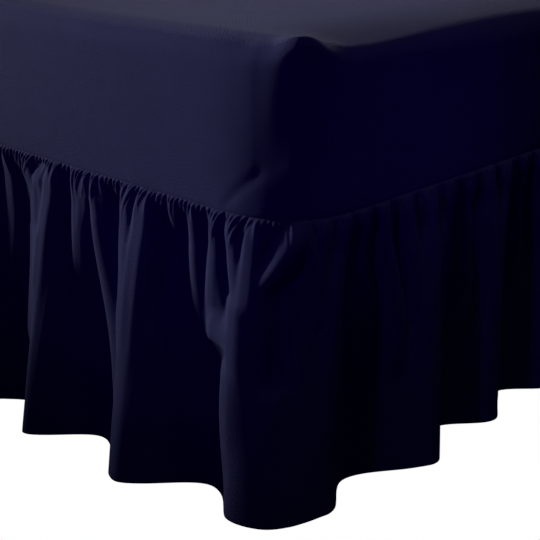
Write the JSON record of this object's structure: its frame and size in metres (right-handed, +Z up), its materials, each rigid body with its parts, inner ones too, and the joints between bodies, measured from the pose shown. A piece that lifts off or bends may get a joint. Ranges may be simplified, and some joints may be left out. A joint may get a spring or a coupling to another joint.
{
  "type": "fitted bed skirt on a mattress and bed base",
  "caption": "Fitted mattress cover with a gathered frill that hangs to the floor all round, shown on a plain mattress and a plain bed base.",
  "frame": {"origin": "on the floor, under the middle of the bed", "axes": "+Z up, +Y towards the head of the bed, +X to the right of someone who stands at the foot and faces the head"},
  "size_m": [1.0681, 2.074, 0.6152],
  "materials": {
    "navy_cloth": "plain woven polycotton, dyed navy, matt with a faint sheen",
    "ticking": "plain off-white woven ticking",
    "base_fabric": "plain grey woven upholstery"
  },
  "bodies": {
    "root": {"fitted_cover": "navy_cloth", "frill_foot": "navy_cloth", "frill_head": "navy_cloth", "mattress": "ticking", "bed_base": "base_fabric"}
  },
  "joints": []
}
